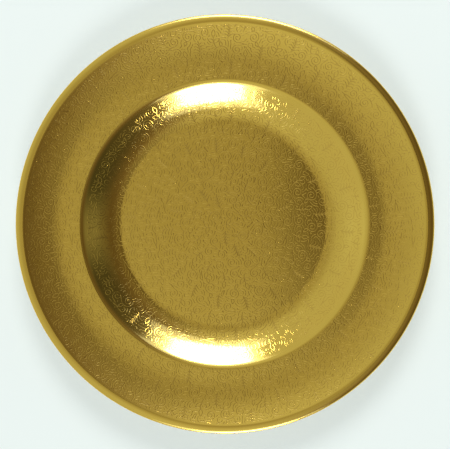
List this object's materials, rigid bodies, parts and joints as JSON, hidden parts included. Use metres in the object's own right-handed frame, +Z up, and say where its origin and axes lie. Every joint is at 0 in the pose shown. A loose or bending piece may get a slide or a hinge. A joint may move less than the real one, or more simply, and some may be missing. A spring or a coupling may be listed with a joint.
{
  "type": "bread and butter plate",
  "caption": "Small round porcelain plate with a wide shallow rim, a coved well and a foot ring, its whole face covered in etched gold between plain burnished bands.",
  "frame": {"origin": "centre of the foot ring's resting face", "axes": "+Z up, along the axis that the plate was turned about; the plate is round, so +X and +Y are free"},
  "size_m": [0.1618, 0.1618, 0.0148],
  "materials": {
    "bare_porcelain": "fired porcelain, unglazed where the foot ring was wiped, warm white and fine grained",
    "clear_glaze": "clear glossy glaze over warm white porcelain",
    "etched_gold": "gold fired over an acid-etched glaze, low relief, softly bright",
    "burnished_gold": "gold fired over plain glaze and burnished to a mirror"
  },
  "bodies": {
    "root": {"porcelain_body": "bare_porcelain", "glaze_coat": "clear_glaze", "foot_recess_glaze": "clear_glaze", "well_gold": "etched_gold", "rim_gold": "etched_gold", "verge_gold": "burnished_gold", "lip_gold": "burnished_gold"}
  },
  "joints": []
}
